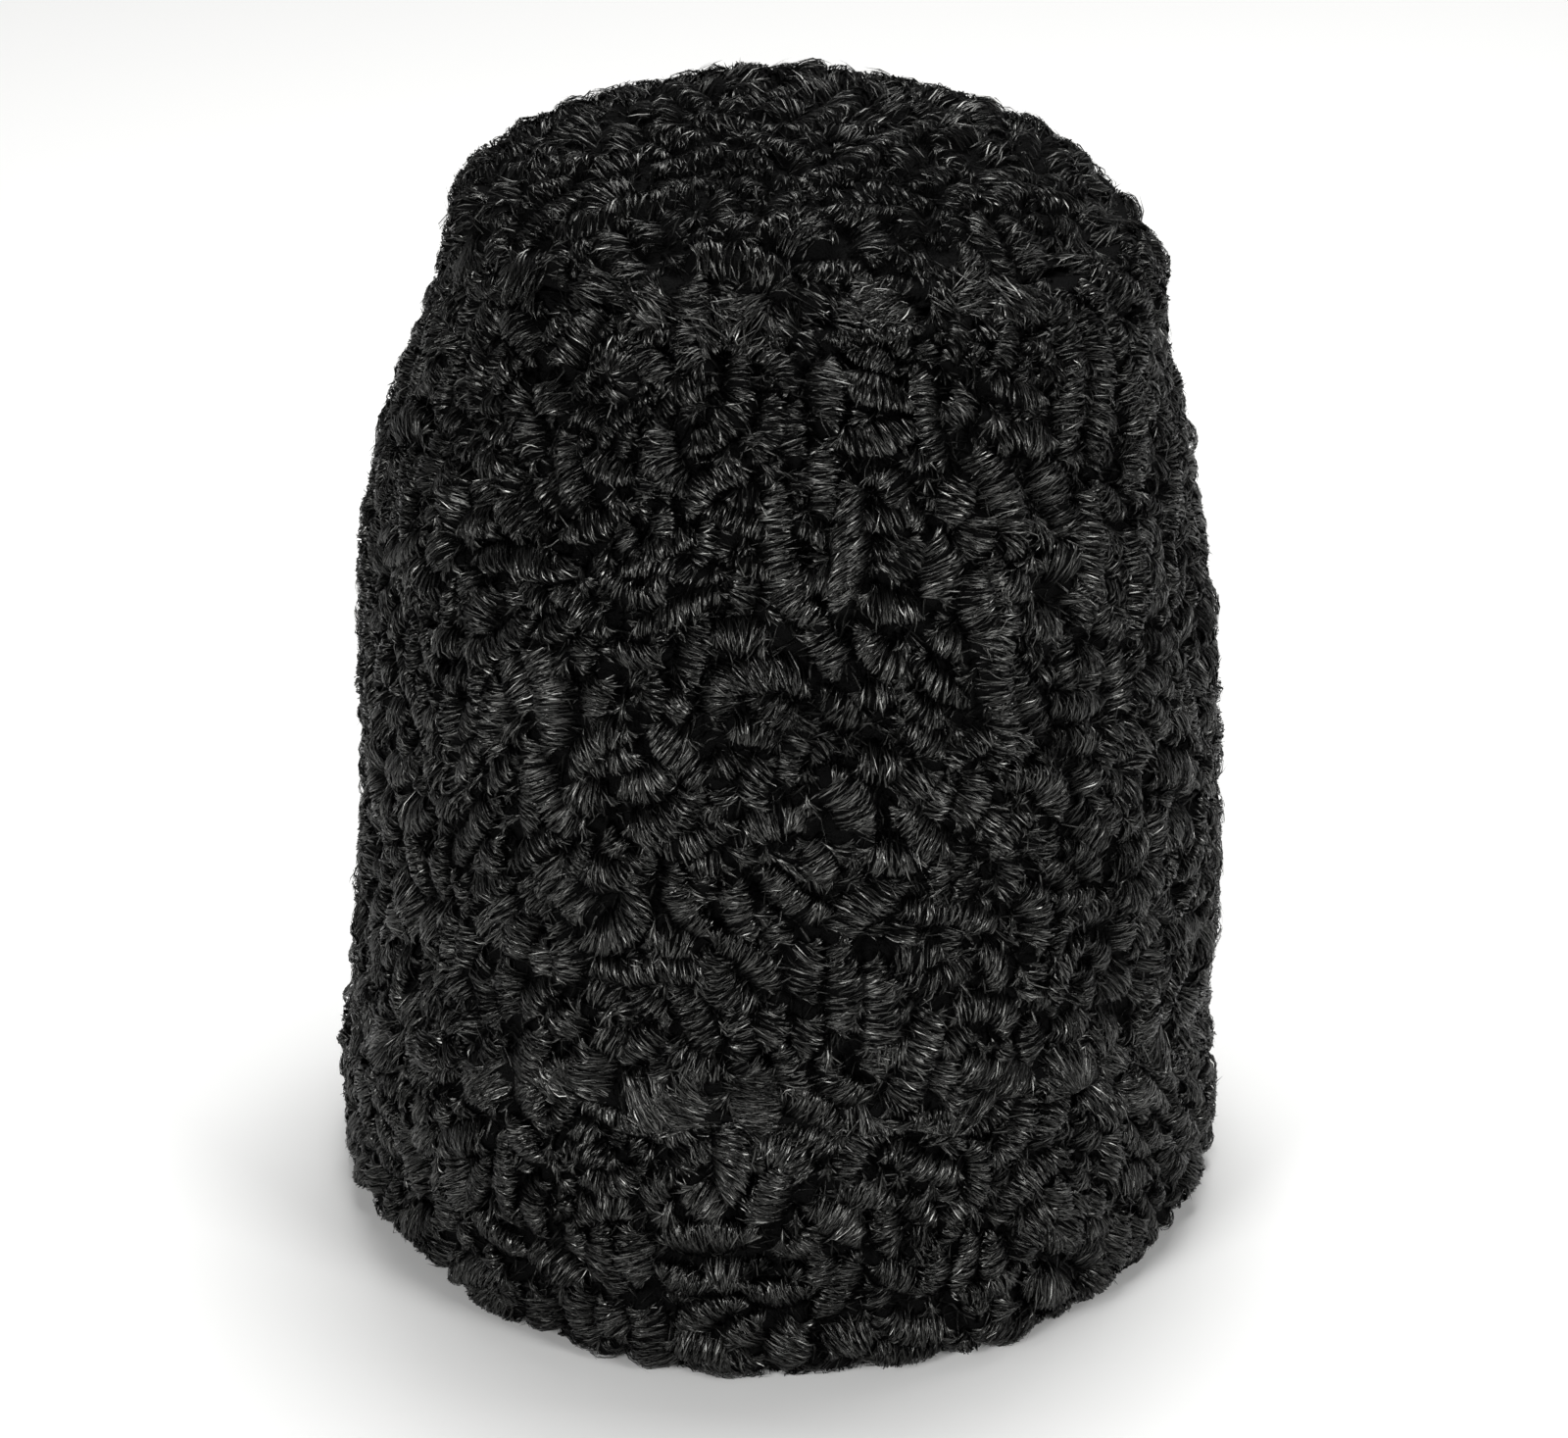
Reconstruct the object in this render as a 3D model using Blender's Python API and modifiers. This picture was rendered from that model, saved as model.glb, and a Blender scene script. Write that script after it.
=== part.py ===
# Turkmen telpek: a tall hat of black curly lamb, in three sewn pieces of pelt.
# Metres, +Z up, the front faces -Y. The origin is on the floor, under the middle of the rim.
# Each piece is the pelt with its fur, as one solid of the outer form.

import math

import bmesh
import bpy

# The head's hollow, measured at the rim: an oval for a head 59 cm round
HEAD_WIDTH = 0.176
HEAD_DEPTH = 0.200

# Heights above the floor
SEAM_HEIGHT = 0.2505
CROWN_RISE = 0.0255
CUFF_HEIGHT_FRONT = 0.070
CUFF_HEIGHT_SIDES = 0.040
ROLL_HEIGHT = 0.009

# Thicknesses of pelt with its fur
WALL_THICKNESS = 0.016
WALL_BEHIND_CUFF = 0.0095
CUFF_THICKNESS = 0.012
CROWN_THICKNESS = 0.014

# Rounding of the fur's edges, and the flat ring that the hat rests on
RIM_ROUND = 0.008
REST_RING_WIDTH = 0.006
FUR_EDGE_DEPTH = 0.004
FUR_EDGE_HEIGHT = 0.010

# Height over which the wall, sewn square to the cuff, drifts to its own shift
DRIFT_HEIGHT = 0.030

# Height by which the hollow has eased from the head's oval to the wall's own inside
HOLLOW_EASE_HEIGHT = 0.105

# Azimuth from the side, in degrees, at which the cuff's seam has reached its front height
SEAM_RISE_AZIMUTH = 62.0

# Pieces that meet keep this gap
SEAM_GAP = 0.0003

# Facets
STEPS_AROUND = 56
ROWS_OUTSIDE = 18
ROWS_INSIDE = 8
ROWS_CUFF = 5
ROWS_ROLL = 4
ROWS_CROWN = 8

# How far the wall's rows crowd toward its two seams, as a share of the wall's height
ROW_CROWDING = 0.09

# Sizes that follow from the ones above
HAT_HALF_WIDTH = HEAD_WIDTH / 2 + WALL_BEHIND_CUFF + SEAM_GAP + CUFF_THICKNESS
HAT_HALF_DEPTH = HEAD_DEPTH / 2 + WALL_BEHIND_CUFF + SEAM_GAP + CUFF_THICKNESS

# The wall's outside, a row for each section:
# height as a share of SEAM_HEIGHT, half width as a share of HAT_HALF_WIDTH,
# half depth as a share of HAT_HALF_DEPTH, shift to the right as a share of HAT_HALF_WIDTH
SECTION_COLUMNS = ("height", "half_width", "half_depth", "shift")
WALL_SECTIONS = (
    (0.000, 0.974, 0.974, 0.000),
    (0.160, 0.974, 0.974, 0.000),
    (0.240, 0.977, 0.977, 0.022),
    (0.380, 0.967, 0.965, 0.031),
    (0.520, 0.959, 0.957, 0.024),
    (0.660, 0.934, 0.930, 0.015),
    (0.780, 0.888, 0.875, 0.014),
    (0.870, 0.822, 0.800, 0.030),
    (0.940, 0.792, 0.728, 0.056),
    (0.985, 0.757, 0.660, 0.045),
    (1.000, 0.724, 0.612, 0.036),
)

# The crown's edge: half width and half depth as shares of the hat's
CROWN_WIDTH_SHARE = 0.706
CROWN_DEPTH_SHARE = 0.592

# Soft dents pressed into the cuff's outside, a row for each:
# azimuth and reach around in degrees, depth as a share of CUFF_THICKNESS
CUFF_DENTS = (
    (214.0, 26.0, 0.28),
    (318.0, 20.0, 0.12),
)

# Black curly lamb: colour and roughness of each piece's fur
FUR_FINISHES = {
    "crown_top": ((0.014, 0.014, 0.015, 1.0), 0.52),
    "side_wall": ((0.011, 0.011, 0.012, 1.0), 0.48),
    "cuff": ((0.012, 0.012, 0.013, 1.0), 0.50),
}


def smooth_step(share):
    """Ease from 0 to 1."""
    share = min(max(share, 0.0), 1.0)
    return share * share * (3.0 - 2.0 * share)


def slope_at(row, column):
    """Slope of one column of WALL_SECTIONS at a row, taken across its neighbours."""
    below = WALL_SECTIONS[max(row - 1, 0)]
    above = WALL_SECTIONS[min(row + 1, len(WALL_SECTIONS) - 1)]
    return (above[column] - below[column]) / (above[0] - below[0])


def section_at(height):
    """The wall's outside at a height: half width, half depth and shift, in metres."""
    share = min(max(height / SEAM_HEIGHT, 0.0), 1.0)
    row = 0
    while row < len(WALL_SECTIONS) - 2 and share > WALL_SECTIONS[row + 1][0]:
        row += 1
    start = WALL_SECTIONS[row]
    end = WALL_SECTIONS[row + 1]
    span = end[0] - start[0]
    along = (share - start[0]) / span
    ease = smooth_step(along)
    leave = along * (1.0 - along) ** 2 * span
    arrive = along ** 2 * (along - 1.0) * span
    values = []
    for column in range(1, len(SECTION_COLUMNS)):
        value = start[column] + (end[column] - start[column]) * ease
        value += leave * slope_at(row, column) + arrive * slope_at(row + 1, column)
        values.append(value)
    return (values[0] * HAT_HALF_WIDTH, values[1] * HAT_HALF_DEPTH, values[2] * HAT_HALF_WIDTH)


def cuff_height(azimuth):
    """Height of the cuff's top seam: high across the front, low at the sides and the back."""
    toward_front = max(-math.sin(azimuth), 0.0)
    rise = smooth_step(toward_front / math.sin(math.radians(SEAM_RISE_AZIMUTH)))
    return CUFF_HEIGHT_SIDES + (CUFF_HEIGHT_FRONT - CUFF_HEIGHT_SIDES) * rise


def edge_inset(distance):
    """How far a fur edge has rounded inward, at a distance from the seam."""
    left = 1.0 - min(max(distance / FUR_EDGE_HEIGHT, 0.0), 1.0)
    return FUR_EDGE_DEPTH * (1.0 - math.sqrt(1.0 - left * left))


def on_oval(half_width, half_depth, shift, azimuth, height):
    """A point of an oval section."""
    return (shift + half_width * math.cos(azimuth), half_depth * math.sin(azimuth), height)


def hollow_at(height):
    """The head's hollow at a height: half width, half depth and shift."""
    half_width, half_depth, shift = section_at(height)
    blend = smooth_step(height / HOLLOW_EASE_HEIGHT)
    width = (1.0 - blend) * HEAD_WIDTH / 2 + blend * (half_width - WALL_THICKNESS)
    depth = (1.0 - blend) * HEAD_DEPTH / 2 + blend * (half_depth - WALL_THICKNESS)
    return width, depth, shift * blend


def dent_at(azimuth):
    """How deep the cuff's outside is pressed in at an azimuth."""
    depth = 0.0
    for middle, reach, share in CUFF_DENTS:
        away = (math.degrees(azimuth) - middle + 180.0) % 360.0 - 180.0
        depth += share * CUFF_THICKNESS * smooth_step(1.0 - abs(away) / reach)
    return depth


def wall_profile(azimuth):
    """Closed outline of the wall's cut at one azimuth, from its hem up, over and down inside."""
    hem = ROLL_HEIGHT + SEAM_GAP
    ledge = cuff_height(azimuth) + SEAM_GAP
    hem_width = HEAD_WIDTH / 2 + WALL_BEHIND_CUFF
    hem_depth = HEAD_DEPTH / 2 + WALL_BEHIND_CUFF
    points = []
    for height in (hem, (hem + ledge) / 2, ledge):
        points.append(on_oval(hem_width, hem_depth, 0.0, azimuth, height))
    for row in range(ROWS_OUTSIDE + 1):
        share = row / ROWS_OUTSIDE
        spread = share - ROW_CROWDING * math.sin(2.0 * math.pi * share)
        height = ledge + (SEAM_HEIGHT - ledge) * spread
        half_width, half_depth, shift = section_at(height)
        shift *= smooth_step((height - ledge) / DRIFT_HEIGHT)
        inset = edge_inset(height - ledge)
        point = on_oval(half_width - inset, half_depth - inset, shift, azimuth, height)
        points.append(point)
    for row in range(ROWS_INSIDE + 1):
        height = SEAM_HEIGHT + (hem - SEAM_HEIGHT) * row / ROWS_INSIDE
        half_width, half_depth, shift = hollow_at(height)
        points.append(on_oval(half_width, half_depth, shift, azimuth, height))
    return points


def cuff_profile(azimuth):
    """Closed outline of the cuff's cut at one azimuth: band, roll under the rim, and back."""
    top = cuff_height(azimuth)
    dent = dent_at(azimuth)
    sizes = []
    for row in range(ROWS_CUFF):
        height = top + (RIM_ROUND - top) * row / ROWS_CUFF
        pressed = dent * smooth_step((top - height) / CUFF_HEIGHT_SIDES)
        sizes.append((-edge_inset(top - height) - pressed, height))
    for row in range(ROWS_ROLL + 1):
        turn = math.pi / 2 * row / ROWS_ROLL
        outward = RIM_ROUND * (math.cos(turn) - 1.0) - dent * math.cos(turn)
        sizes.append((outward, RIM_ROUND * (1.0 - math.sin(turn))))
    flat_end = RIM_ROUND + REST_RING_WIDTH
    inner_reach = HAT_HALF_WIDTH - HEAD_WIDTH / 2 - flat_end
    for row in range(ROWS_ROLL + 1):
        turn = math.pi / 2 * row / ROWS_ROLL
        inward = flat_end + inner_reach * math.sin(turn)
        sizes.append((-inward, ROLL_HEIGHT * (1.0 - math.cos(turn))))
    sizes.append((-CUFF_THICKNESS, ROLL_HEIGHT))
    sizes.append((-CUFF_THICKNESS, (ROLL_HEIGHT + top) / 2))
    sizes.append((-CUFF_THICKNESS, top))
    points = []
    for outward, height in sizes:
        half_width = HAT_HALF_WIDTH + outward
        half_depth = HAT_HALF_DEPTH + outward
        points.append(on_oval(half_width, half_depth, 0.0, azimuth, height))
    return points


def loft_around(name, profile_at):
    """Join the closed outlines at every azimuth into one ring-shaped solid.

    Each four-sided patch is split along the same diagonal in every piece, so that two twisted
    faces that follow each other keep their gap.
    """
    shape = bmesh.new()
    rings = []
    for step in range(STEPS_AROUND):
        azimuth = 2.0 * math.pi * step / STEPS_AROUND
        rings.append([shape.verts.new(point) for point in profile_at(azimuth)])
    for step, ring in enumerate(rings):
        after = rings[(step + 1) % STEPS_AROUND]
        for index in range(len(ring)):
            following = (index + 1) % len(ring)
            shape.faces.new((ring[index], after[index], after[following]))
            shape.faces.new((ring[index], after[following], ring[following]))
    bmesh.ops.recalc_face_normals(shape, faces=shape.faces)
    mesh = bpy.data.meshes.new(name)
    shape.to_mesh(mesh)
    shape.free()
    return bpy.data.objects.new(name, mesh)


def crown_outline():
    """Half of the crown's cut, from the middle of the top down its edge and back below."""
    edge = HAT_HALF_WIDTH * CROWN_WIDTH_SHARE
    outline = []
    for row in range(ROWS_CROWN + 1):
        turn = math.pi / 2 * row / ROWS_CROWN
        outline.append((edge * math.sin(turn), CROWN_RISE * math.cos(turn)))
    under_rise = CROWN_RISE - CROWN_THICKNESS
    for row in range(ROWS_CROWN // 2 + 1):
        turn = math.pi / 2 * (1.0 - row / (ROWS_CROWN // 2))
        reach = (edge - CROWN_THICKNESS) * math.sin(turn)
        outline.append((reach, under_rise * math.cos(turn)))
    return outline


def turned_crown(name):
    """The crown: its outline turned round the middle, then drawn in to an oval."""
    outline = crown_outline()
    mesh = bpy.data.meshes.new(name)
    points = [(reach, 0.0, height) for reach, height in outline]
    edges = [(index, index + 1) for index in range(len(points) - 1)]
    mesh.from_pydata(points, edges, [])
    crown = bpy.data.objects.new(name, mesh)
    turn = crown.modifiers.new("turn", "SCREW")
    turn.steps = STEPS_AROUND
    turn.render_steps = STEPS_AROUND
    turn.use_merge_vertices = True
    turn.merge_threshold = 0.00001
    turn.use_normal_calculate = True
    depth_to_width = HAT_HALF_DEPTH * CROWN_DEPTH_SHARE / (HAT_HALF_WIDTH * CROWN_WIDTH_SHARE)
    crown.scale = (1.0, depth_to_width, 1.0)
    crown.location = (0.0, 0.0, SEAM_HEIGHT + SEAM_GAP)
    return crown


def fur_material(name):
    """Principled fur of one piece."""
    colour, roughness = FUR_FINISHES[name]
    material = bpy.data.materials.new(name + "_fur")
    material.use_nodes = True
    shader = material.node_tree.nodes["Principled BSDF"]
    shader.inputs["Base Color"].default_value = colour
    shader.inputs["Roughness"].default_value = roughness
    shader.inputs["Metallic"].default_value = 0.0
    return material


def build_hat():
    """Clear the scene, make the pieces and hang them from one empty."""
    for old in list(bpy.data.objects):
        bpy.data.objects.remove(old, do_unlink=True)
    collection = bpy.data.collections.new("turkmen_telpek")
    bpy.context.scene.collection.children.link(collection)
    middle = bpy.data.objects.new("hat_middle", None)
    middle.empty_display_size = HEAD_WIDTH / 2
    collection.objects.link(middle)
    pieces = (
        turned_crown("crown_top"),
        loft_around("side_wall", wall_profile),
        loft_around("cuff", cuff_profile),
    )
    for piece in pieces:
        piece.data.materials.append(fur_material(piece.name))
        piece.data.shade_smooth()
        collection.objects.link(piece)
        piece.parent = middle


build_hat()
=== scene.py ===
# %% [markdown]
# A telpek is a tall hat sewn from the pelt of a curly lamb. Nothing on it is smooth: the wool lies
# in glossy rolls a few millimetres wide that bend and hook like worms, and each roll is wound of
# short hairs that arch across it. This lesson grows that fur on a plain frame. First the frame's
# surface is felt out, then curls are laid on it, then a dark pelt is carved to their shape, and
# last the hairs are wound round every curl.

# %% Load the frame
import math

import bpy
import numpy as np
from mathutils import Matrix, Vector
from mathutils.bvhtree import BVHTree


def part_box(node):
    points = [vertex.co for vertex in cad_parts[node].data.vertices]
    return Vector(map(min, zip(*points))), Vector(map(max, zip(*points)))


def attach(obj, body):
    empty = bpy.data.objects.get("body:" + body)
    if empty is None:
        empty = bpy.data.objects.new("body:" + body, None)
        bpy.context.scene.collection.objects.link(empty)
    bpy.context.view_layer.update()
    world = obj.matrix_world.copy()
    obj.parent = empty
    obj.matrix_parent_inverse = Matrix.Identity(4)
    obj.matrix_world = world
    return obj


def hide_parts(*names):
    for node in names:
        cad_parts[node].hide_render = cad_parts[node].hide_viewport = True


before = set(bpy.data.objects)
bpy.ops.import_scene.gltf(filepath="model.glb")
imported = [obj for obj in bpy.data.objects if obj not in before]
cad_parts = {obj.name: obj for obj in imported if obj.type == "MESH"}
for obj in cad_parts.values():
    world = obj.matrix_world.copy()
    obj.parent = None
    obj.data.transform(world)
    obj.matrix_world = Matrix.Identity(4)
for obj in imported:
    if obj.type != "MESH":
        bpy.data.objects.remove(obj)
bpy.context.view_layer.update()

MILLIMETRE = 0.001
TURN = 2.0 * math.pi

# %% [markdown]
# The photograph looks down on the hat from a little above its front. A long lens from one and a
# half metres keeps the sides nearly upright, as they are there. The camera is set first, because
# a few curls further down are placed by where the photograph shows them.

# %% Camera
CAMERA_DISTANCE = 1.50
CAMERA_ELEVATION = math.radians(25.7)
CAMERA_TARGET = Vector((0.0016, 0.0, 0.1171))
LENS = 140.06
SENSOR_WIDTH = 36.0
PHOTO_WIDTH = 1600
PHOTO_HEIGHT = 1467

camera_data = bpy.data.cameras.new("photo_camera")
camera_data.lens = LENS
camera_data.sensor_width = SENSOR_WIDTH
camera = bpy.data.objects.new("photo_camera", camera_data)
camera_back = Vector((0.0, -math.cos(CAMERA_ELEVATION), math.sin(CAMERA_ELEVATION)))
camera.location = CAMERA_TARGET + camera_back * CAMERA_DISTANCE
camera.rotation_mode = "QUATERNION"
camera.rotation_quaternion = (-camera_back).to_track_quat("-Z", "Y")
bpy.context.scene.collection.objects.link(camera)
bpy.context.scene.camera = camera
print("camera at", [round(v, 3) for v in camera.location])

# %% [markdown]
# The fur has to follow the frame exactly, so its base surface is felt out with rays. Each piece
# becomes a sheet: rows run down the piece by true length, columns run round it. A ray hits the
# frame's plain solid, and the hits are smoothed a little so that its facets don't show through.

# %% Tools for feeling out a surface
COLUMNS_AROUND = 180
ROW_STEP = 1.5 * MILLIMETRE
RAY_START = 0.20
HALVINGS = 14
TINY = 1e-12


def tree_of(node):
    """A search tree of one frame node's faces."""
    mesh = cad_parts[node].data
    corners = [tuple(vertex.co) for vertex in mesh.vertices]
    faces = [tuple(face.vertices) for face in mesh.polygons]
    return BVHTree.FromPolygons(corners, faces)


def first_hit(tree, start, toward):
    """Where a ray from start toward a point first meets the surface."""
    direction = Vector(toward) - Vector(start)
    place = tree.ray_cast(Vector(start), direction.normalized())[0]
    return None if place is None else np.array(place)


def around(azimuth, reach, height):
    """A point at a distance from the upright axis."""
    return (reach * math.cos(azimuth), reach * math.sin(azimuth), height)


def edge_height(tree, azimuth, low, high):
    """The highest level at which a level ray still meets the near side of the piece."""
    for _ in range(HALVINGS):
        middle = (low + high) / 2
        start = around(azimuth, RAY_START, middle)
        hit = first_hit(tree, start, (0.0, 0.0, middle))
        if hit is not None and np.dot(hit[:2], start[:2]) > 0:
            low = middle
        else:
            high = middle
    return low


def even_rows(profile):
    """Resample a profile at equal steps of length. Returns the points and the length."""
    profile = np.array(profile)
    steps = np.linalg.norm(np.diff(profile, axis=0), axis=1)
    lengths = np.concatenate([[0.0], np.cumsum(steps)])
    wanted = np.arange(0.0, lengths[-1], ROW_STEP)
    rows = [np.interp(wanted, lengths, profile[:, axis]) for axis in range(3)]
    return np.stack(rows, axis=1), lengths[-1]


def stack_profiles(profiles):
    """Make one grid of points, rows by columns, from the profile at each azimuth."""
    even = [even_rows(profile)[0] for profile in profiles]
    most = max(len(points) for points in even)
    grid = np.zeros((most, len(even), 3))
    for column, points in enumerate(even):
        grid[:len(points), column] = points
        beyond = np.arange(most - len(points))[:, None] + 1.0
        last_step = points[-1] - points[-2]
        grid[len(points):, column] = points[-1] + beyond * last_step
    return grid


def soften(grid, passes):
    """Blur a grid of points round its columns and along its rows, keeping its end rows."""
    for _ in range(passes):
        grid = (np.roll(grid, 1, 1) + 2.0 * grid + np.roll(grid, -1, 1)) / 4.0
        inner = (grid[:-2] + 2.0 * grid[1:-1] + grid[2:]) / 4.0
        grid = np.concatenate([grid[:1], inner, grid[-1:]])
    return grid


def unit(vectors):
    """Vectors scaled to length one."""
    return vectors / np.maximum(np.linalg.norm(vectors, axis=-1, keepdims=True), TINY)


def read_between(grid, rows, columns):
    """Read a grid, closed round its columns, at rows and columns that have fractions."""
    rows = np.clip(rows, 0.0, len(grid) - 1.001)
    row = np.floor(rows).astype(int)
    column = np.floor(columns).astype(int)
    row_share = rows - row
    column_share = columns - column
    if grid.ndim == 3:
        row_share = row_share[..., None]
        column_share = column_share[..., None]
    column = column % grid.shape[1]
    after = (column + 1) % grid.shape[1]
    upper = grid[row, column] * (1 - column_share) + grid[row, after] * column_share
    lower = grid[row + 1, column] * (1 - column_share) + grid[row + 1, after] * column_share
    return upper * (1 - row_share) + lower * row_share


# %% [markdown]
# The wall is measured from the crown's seam down to the cuff's seam, the cuff from its own seam
# down, under the rim and a little way up inside, and the crown from its middle out to its edge.
# Every sheet keeps its points, its outward directions and its length at each azimuth.

# %% Feel out the three pieces
azimuths = np.arange(COLUMNS_AROUND) * TURN / COLUMNS_AROUND
wall_tree = tree_of("side_wall")
cuff_tree = tree_of("cuff")
crown_tree = tree_of("crown_top")
wall_low, wall_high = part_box("side_wall")
cuff_low, cuff_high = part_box("cuff")
crown_low, crown_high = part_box("crown_top")
crown_middle = (crown_low + crown_high) / 2

SEAM_CLEARANCE = 0.6 * MILLIMETRE
GROOVE = 4.0 * MILLIMETRE
APRON = 8.0 * MILLIMETRE
FOOT_DEPTH = 10.0 * MILLIMETRE
FOOT_HEIGHT = 5.0 * MILLIMETRE
FOOT_ORBIT = 2.5 * FOOT_DEPTH
WALL_LEVELS = 72
CUFF_LEVELS = 36
APRON_LEVELS = 16
CROWN_RAYS = 60
CROWN_APRON_LEVELS = 9
APRON_MIDDLE = 0.6
APRON_WAVES = ((19, 0.22, 0.0), (31, 0.18, 1.0))
cuff_tops = np.array([
    edge_height(cuff_tree, azimuth, cuff_low.z + 0.02, cuff_high.z + 0.01)
    for azimuth in azimuths
])


def level_hits(tree, azimuth, heights):
    """Where level rays from outside meet a piece, from the first height to the last."""
    starts = [around(azimuth, RAY_START, height) for height in heights]
    return [first_hit(tree, start, (0, 0, start[2])) for start in starts]


def wall_profile(azimuth, cuff_top):
    """Points down the wall's outside, straight over the groove at its seam, and on over the cuff."""
    own = np.linspace(wall_high.z - SEAM_CLEARANCE / 2, cuff_top + GROOVE, WALL_LEVELS)
    own_points = level_hits(wall_tree, azimuth, own)
    beyond = np.linspace(cuff_top - GROOVE, FOOT_HEIGHT, APRON_LEVELS)
    apron_points = level_hits(cuff_tree, azimuth, beyond)
    seam_point = (own_points[-1] + apron_points[0]) / 2
    return own_points + [seam_point], apron_points


def cuff_profile(azimuth, cuff_top):
    """Points down the cuff's band, round its roll and up inside the rim."""
    heights = np.linspace(cuff_top - SEAM_CLEARANCE, FOOT_HEIGHT, CUFF_LEVELS)
    points = level_hits(cuff_tree, azimuth, heights)
    middle_reach = math.hypot(points[-1][0], points[-1][1]) - FOOT_DEPTH
    middle = around(azimuth, middle_reach, FOOT_HEIGHT)
    for turn in np.radians(np.arange(-6.0, -204.0, -6.0)):
        reach = middle_reach + FOOT_ORBIT * math.cos(turn)
        start = around(azimuth, reach, FOOT_HEIGHT + FOOT_ORBIT * math.sin(turn))
        points.append(first_hit(cuff_tree, start, middle))
    return points, []


def crown_profile(azimuth):
    """Points from the crown's middle out over its dome, and on over the top of the wall."""
    centre = np.array((crown_middle.x, crown_middle.y, crown_low.z + 0.5 * MILLIMETRE))
    points = []
    for turn in np.radians(np.linspace(90.0, 1.0, CROWN_RAYS)):
        away = np.array((
            math.cos(turn) * math.cos(azimuth),
            math.cos(turn) * math.sin(azimuth),
            math.sin(turn),
        ))
        points.append(first_hit(crown_tree, centre + away * RAY_START, centre))
    top = wall_high.z - 2.0 * SEAM_CLEARANCE
    heights = np.linspace(top, top - 2 * APRON, CROWN_APRON_LEVELS)
    return points, level_hits(wall_tree, azimuth, heights)


class Sheet:
    """One piece's outer surface: a grid of points with outward directions.

    Its own part ends at the seam, at its length. A short apron with a wavy edge goes on past the
    seam over the next piece, so that curls and hairs can hang over it.
    """

    def __init__(self, name, profiles, planar, smoothing, apron_width):
        self.name = name
        self.planar = planar
        grid = stack_profiles([own + apron for own, apron in profiles])
        self.lengths = np.array([even_rows(own)[1] for own, _ in profiles])
        waves = APRON_MIDDLE
        for count, size, start in APRON_WAVES:
            waves = waves + size * np.sin(count * azimuths + start)
        self.reaches = self.lengths + apron_width * waves
        self.points = soften(grid, smoothing)
        down = np.gradient(self.points, axis=0)
        across = (np.roll(self.points, -1, 1) - np.roll(self.points, 1, 1)) / 2.0
        facing = unit(np.cross(down, across))
        if planar:
            facing[:2] = (0.0, 0.0, 1.0)
        self.facing = unit(soften(facing, 4))
        self.around = np.linalg.norm(across, axis=2).mean(axis=1) * COLUMNS_AROUND
        self.reference = TURN if planar else self.around.max()
        self.depth = float(self.reaches.max())

    def grid_place(self, across, down):
        """Grid row, and share of the way round, of map positions."""
        if self.planar:
            return np.hypot(across, down) / ROW_STEP, np.arctan2(down, across) / TURN
        return down / ROW_STEP, across / self.reference

    def read(self, grid, across, down):
        """Read a grid between its points at map positions."""
        rows, columns = self.grid_place(across, down)
        return read_between(grid, rows, (columns % 1.0) * COLUMNS_AROUND)

    def round_value(self, values, across, down):
        """Read a value kept for each azimuth at map positions."""
        columns = (self.grid_place(across, down)[1] % 1.0) * COLUMNS_AROUND
        return np.interp(columns, np.arange(COLUMNS_AROUND + 1), np.append(values, values[0]))

    def squeeze(self, down):
        """How much narrower the sheet is at a row than at its widest."""
        if self.planar:
            return np.ones_like(down)
        rows = np.clip(down / ROW_STEP, 0, len(self.around) - 1)
        return np.interp(rows, np.arange(len(self.around)), self.around) / self.reference


wall_profiles = [wall_profile(*pair) for pair in zip(azimuths, cuff_tops)]
cuff_profiles = [cuff_profile(*pair) for pair in zip(azimuths, cuff_tops)]
crown_profiles = [crown_profile(azimuth) for azimuth in azimuths]
wall = Sheet("wall", wall_profiles, False, 2, APRON)
cuff = Sheet("cuff", cuff_profiles, False, 1, 0.0)
crown = Sheet("crown", crown_profiles, True, 1, APRON)
for sheet in (wall, cuff, crown):
    print(sheet.name, "length", round(sheet.depth, 4), "round", round(sheet.around.max(), 4))

# %% [markdown]
# Curly lamb has no pattern that repeats, but it has rules. Curls of about one width lie side by
# side and never cross. Neighbours tend to run the same way for a few centimetres, then the lie of
# the wool turns. Many curls hook at an end. So curls are laid one by one: pick a bare spot, walk
# both ways along the lie of the wool with a bend of its own, and stop where another curl lies.

# %% The lie of the wool
CELL = 0.6 * MILLIMETRE
NOISE_SOFTNESS = 0.9
MAP_MARGIN = 2.0 * MILLIMETRE


def soft_noise(shape, width, random):
    """Smooth noise with features of about one width, in metres, spread to -1 to 1."""
    down = np.fft.fftfreq(shape[0], CELL)[:, None]
    across = np.fft.rfftfreq(shape[1], CELL)[None, :]
    keep = np.exp(-(np.hypot(across, down) * width / NOISE_SOFTNESS) ** 2)
    field = np.fft.irfft2(np.fft.rfft2(random.standard_normal(shape)) * keep, shape)
    return np.clip(field / (2.0 * field.std()), -1.0, 1.0)


class Map:
    """A flat grid of cells over one sheet, closed round for the wall and the cuff."""

    def __init__(self, sheet):
        self.sheet = sheet
        self.half = 0.0
        if sheet.planar:
            self.half = sheet.depth + MAP_MARGIN
            side = int(2 * self.half / CELL)
            self.shape = (side, side)
            self.across_cell = CELL
        else:
            self.shape = (int(sheet.depth / CELL) + 1, int(sheet.reference / CELL))
            self.across_cell = sheet.reference / self.shape[1]

    def cells(self, across, down):
        """Row and column, with fractions, of map positions."""
        return (down + self.half) / CELL, (across + self.half) / self.across_cell

    def read(self, field, across, down):
        """Read a field between its cells."""
        rows, columns = self.cells(across, down)
        return read_between(field, rows, columns)


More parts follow.
